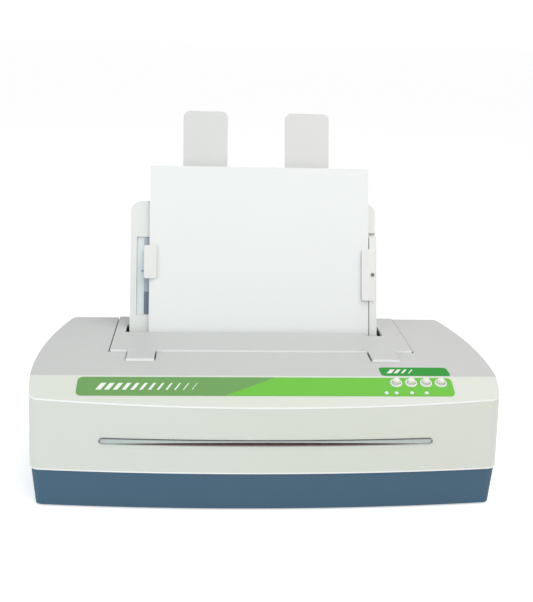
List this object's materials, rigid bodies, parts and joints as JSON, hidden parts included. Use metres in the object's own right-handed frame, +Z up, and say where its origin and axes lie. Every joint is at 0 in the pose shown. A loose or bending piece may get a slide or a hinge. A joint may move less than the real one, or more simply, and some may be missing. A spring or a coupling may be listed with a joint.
{
  "type": "braille printer",
  "caption": "Desktop sheet-fed braille embosser: bowed two-tone housing, hinged lid with leaning paper feeder, sloped button band and front exit slot.",
  "frame": {"origin": "on the floor, under the middle of the bounding box", "axes": "+X to the right seen from the front, +Y towards the rear, +Z up"},
  "size_m": [0.5294, 0.3122, 0.4098],
  "materials": {
    "base_blue": "fine-grained moulded plastic",
    "housing_cream": "fine-grained moulded plastic",
    "top_grey": "fine-grained moulded plastic",
    "foot_rubber": "soft black rubber",
    "steel": "bright ground steel",
    "sheet_steel": "zinc plated sheet",
    "overlay_green": "printed polyester film",
    "button_white": "satin moulded plastic",
    "lens_clear": "clear moulded plastic",
    "board_green": "solder-masked circuit board",
    "slot_chrome": "polished metal trim",
    "tray_white": "smooth moulded plastic",
    "track_pale": "smooth moulded plastic",
    "slide_dark": "smooth moulded plastic",
    "paper_white": "heavy uncoated braille paper",
    "dark_plastic": "moulded plastic",
    "roller_rubber": "ground rubber tyre",
    "motor_black": "black painted steel",
    "gear_ivory": "acetal",
    "brass": "machined brass",
    "anvil_metal": "machined aluminium",
    "psu_metal": "folded aluminium sheet",
    "belt_rubber": "toothed rubber belt",
    "bronze": "sintered bronze"
  },
  "bodies": {
    "printer_body": {"base_pan": "base_blue", "rubber_feet": "foot_rubber", "main_housing": "housing_cream", "top_cover": "top_grey", "hinge_brackets": "dark_plastic", "hinge_pins": "steel", "control_overlay": "overlay_green", "button_rings": "button_white", "led_lenses": "lens_clear", "button_board": "board_green", "slot_bezel": "slot_chrome", "paper_guides": "sheet_steel", "feed_ramp": "dark_plastic", "chassis_plate": "sheet_steel", "side_frame_left": "sheet_steel", "side_frame_right": "sheet_steel", "frame_screws": "steel", "bushings": "bronze", "feed_motor": "motor_black", "guide_rails": "steel", "drive_belts": "belt_rubber", "carriage_motor": "motor_black", "power_supply": "psu_metal", "main_board": "board_green", "io_ports": "steel", "power_inlet": "dark_plastic"},
    "lid_unit": {"lid": "top_grey", "feeder_tray": "tray_white", "guide_track": "track_pale", "edge_guide_right": "tray_white", "feeder_screws": "steel", "pick_bracket": "dark_plastic", "pick_motor": "psu_metal"},
    "left_guide": {"edge_guide_left": "tray_white", "guide_slider": "slide_dark"},
    "left_support": {"paper_support_left": "tray_white"},
    "right_support": {"paper_support_right": "tray_white"},
    "sheets": {"paper_stack": "paper_white"},
    "pick_roller": {"pick_shaft": "steel", "pick_rollers": "roller_rubber"},
    "button_1": {"push_button_1": "button_white"},
    "button_2": {"push_button_2": "button_white"},
    "button_3": {"push_button_3": "button_white"},
    "button_4": {"push_button_4": "button_white"},
    "rocker": {"switch_rocker": "dark_plastic"},
    "feed_roller": {"feed_shaft": "steel", "feed_rollers": "roller_rubber", "feed_gear": "gear_ivory"},
    "pinch_roller": {"pinch_shaft": "dark_plastic"},
    "exit_roller": {"exit_shaft": "steel", "exit_rollers": "roller_rubber", "exit_gear": "gear_ivory"},
    "exit_pinch": {"exit_pinch_shaft": "dark_plastic"},
    "idler": {"idler_gear": "gear_ivory"},
    "pinion": {"motor_pinion": "brass"},
    "punch": {"hammer_carriage": "dark_plastic"},
    "anvil": {"anvil_carriage": "anvil_metal"},
    "belt_drive": {"carriage_drive": "psu_metal"},
    "belt_idler": {"idler_pulleys": "psu_metal"}
  },
  "joints": [
    {"name": "lid_hinge", "type": "hinge", "parent": "printer_body", "child": "lid_unit", "pos_m": [0, 0.11813, 0.1385], "axis": [-1, 0, 0], "range_deg": [0, 60]},
    {"name": "left_guide_slide", "type": "slide", "parent": "lid_unit", "child": "left_guide", "axis": [-1, 0, 0], "range_m": [0, 0.005]},
    {"name": "left_support_slide", "type": "slide", "parent": "lid_unit", "child": "left_support", "axis": [0, 0.309, 0.9511], "range_m": [-0.105, 0]},
    {"name": "right_support_slide", "type": "slide", "parent": "lid_unit", "child": "right_support", "axis": [0, 0.309, 0.9511], "range_m": [-0.105, 0]},
    {"name": "sheet_lift", "type": "slide", "parent": "lid_unit", "child": "sheets", "axis": [0, 0.309, 0.9511], "range_m": [0, 0.29]},
    {"name": "pick_spin", "type": "hinge", "parent": "lid_unit", "child": "pick_roller", "pos_m": [0, 0.03036, 0.10667], "axis": [1, 0, 0], "continuous": true},
    {"name": "button_1_press", "type": "slide", "parent": "printer_body", "child": "button_1", "axis": [0, 0.3665, -0.9304], "range_m": [0, 0.0012], "stiffness_N_per_m": 500, "springref_m": -0.002},
    {"name": "button_2_press", "type": "slide", "parent": "printer_body", "child": "button_2", "axis": [0, 0.3665, -0.9304], "range_m": [0, 0.0012], "stiffness_N_per_m": 500, "springref_m": -0.002},
    {"name": "button_3_press", "type": "slide", "parent": "printer_body", "child": "button_3", "axis": [0, 0.3665, -0.9304], "range_m": [0, 0.0012], "stiffness_N_per_m": 500, "springref_m": -0.002},
    {"name": "button_4_press", "type": "slide", "parent": "printer_body", "child": "button_4", "axis": [0, 0.3665, -0.9304], "range_m": [0, 0.0012], "stiffness_N_per_m": 500, "springref_m": -0.002},
    {"name": "mains_rocker", "type": "hinge", "parent": "printer_body", "child": "rocker", "pos_m": [-0.112, 0.11913, 0.08], "axis": [1, 0, 0], "range_deg": [0, 16]},
    {"name": "feed_spin", "type": "hinge", "parent": "printer_body", "child": "feed_roller", "pos_m": [0, -0.00387, 0.066], "axis": [1, 0, 0], "continuous": true},
    {"name": "pinch_spin", "type": "hinge", "parent": "printer_body", "child": "pinch_roller", "pos_m": [0, -0.00387, 0.0824], "axis": [1, 0, 0], "continuous": true},
    {"name": "exit_spin", "type": "hinge", "parent": "printer_body", "child": "exit_roller", "pos_m": [0, -0.10187, 0.066], "axis": [1, 0, 0], "continuous": true},
    {"name": "exit_pinch_spin", "type": "hinge", "parent": "printer_body", "child": "exit_pinch", "pos_m": [0, -0.10187, 0.0814], "axis": [1, 0, 0], "continuous": true},
    {"name": "idler_spin", "type": "hinge", "parent": "printer_body", "child": "idler", "pos_m": [0, -0.05287, 0.066], "axis": [1, 0, 0], "continuous": true},
    {"name": "pinion_spin", "type": "hinge", "parent": "printer_body", "child": "pinion", "pos_m": [0, 0.02213, 0.066], "axis": [1, 0, 0], "continuous": true},
    {"name": "punch_travel", "type": "slide", "parent": "printer_body", "child": "punch", "axis": [1, 0, 0], "range_m": [-0.128, 0.128]},
    {"name": "anvil_travel", "type": "slide", "parent": "printer_body", "child": "anvil", "axis": [1, 0, 0], "range_m": [-0.128, 0.128]},
    {"name": "belt_drive_spin", "type": "hinge", "parent": "printer_body", "child": "belt_drive", "pos_m": [-0.172, -0.01387, 0.075], "axis": [0, 0, 1], "range_deg": [-918, 918]},
    {"name": "belt_idler_spin", "type": "hinge", "parent": "printer_body", "child": "belt_idler", "pos_m": [0.172, -0.01387, 0.075], "axis": [0, 0, 1], "range_deg": [-918, 918]}
  ],
  "couplings": [
    {"joint": "pinch_spin", "follows": "feed_spin", "ratio": -1.2857},
    {"joint": "exit_spin", "follows": "feed_spin", "ratio": 1},
    {"joint": "exit_pinch_spin", "follows": "feed_spin", "ratio": -1.5},
    {"joint": "idler_spin", "follows": "feed_spin", "ratio": -0.58064},
    {"joint": "pinion_spin", "follows": "feed_spin", "ratio": -2.25},
    {"joint": "anvil_travel", "follows": "punch_travel", "ratio": 1},
    {"joint": "belt_drive_spin", "follows": "punch_travel", "rad_per_m": 125},
    {"joint": "belt_idler_spin", "follows": "punch_travel", "rad_per_m": 125}
  ]
}
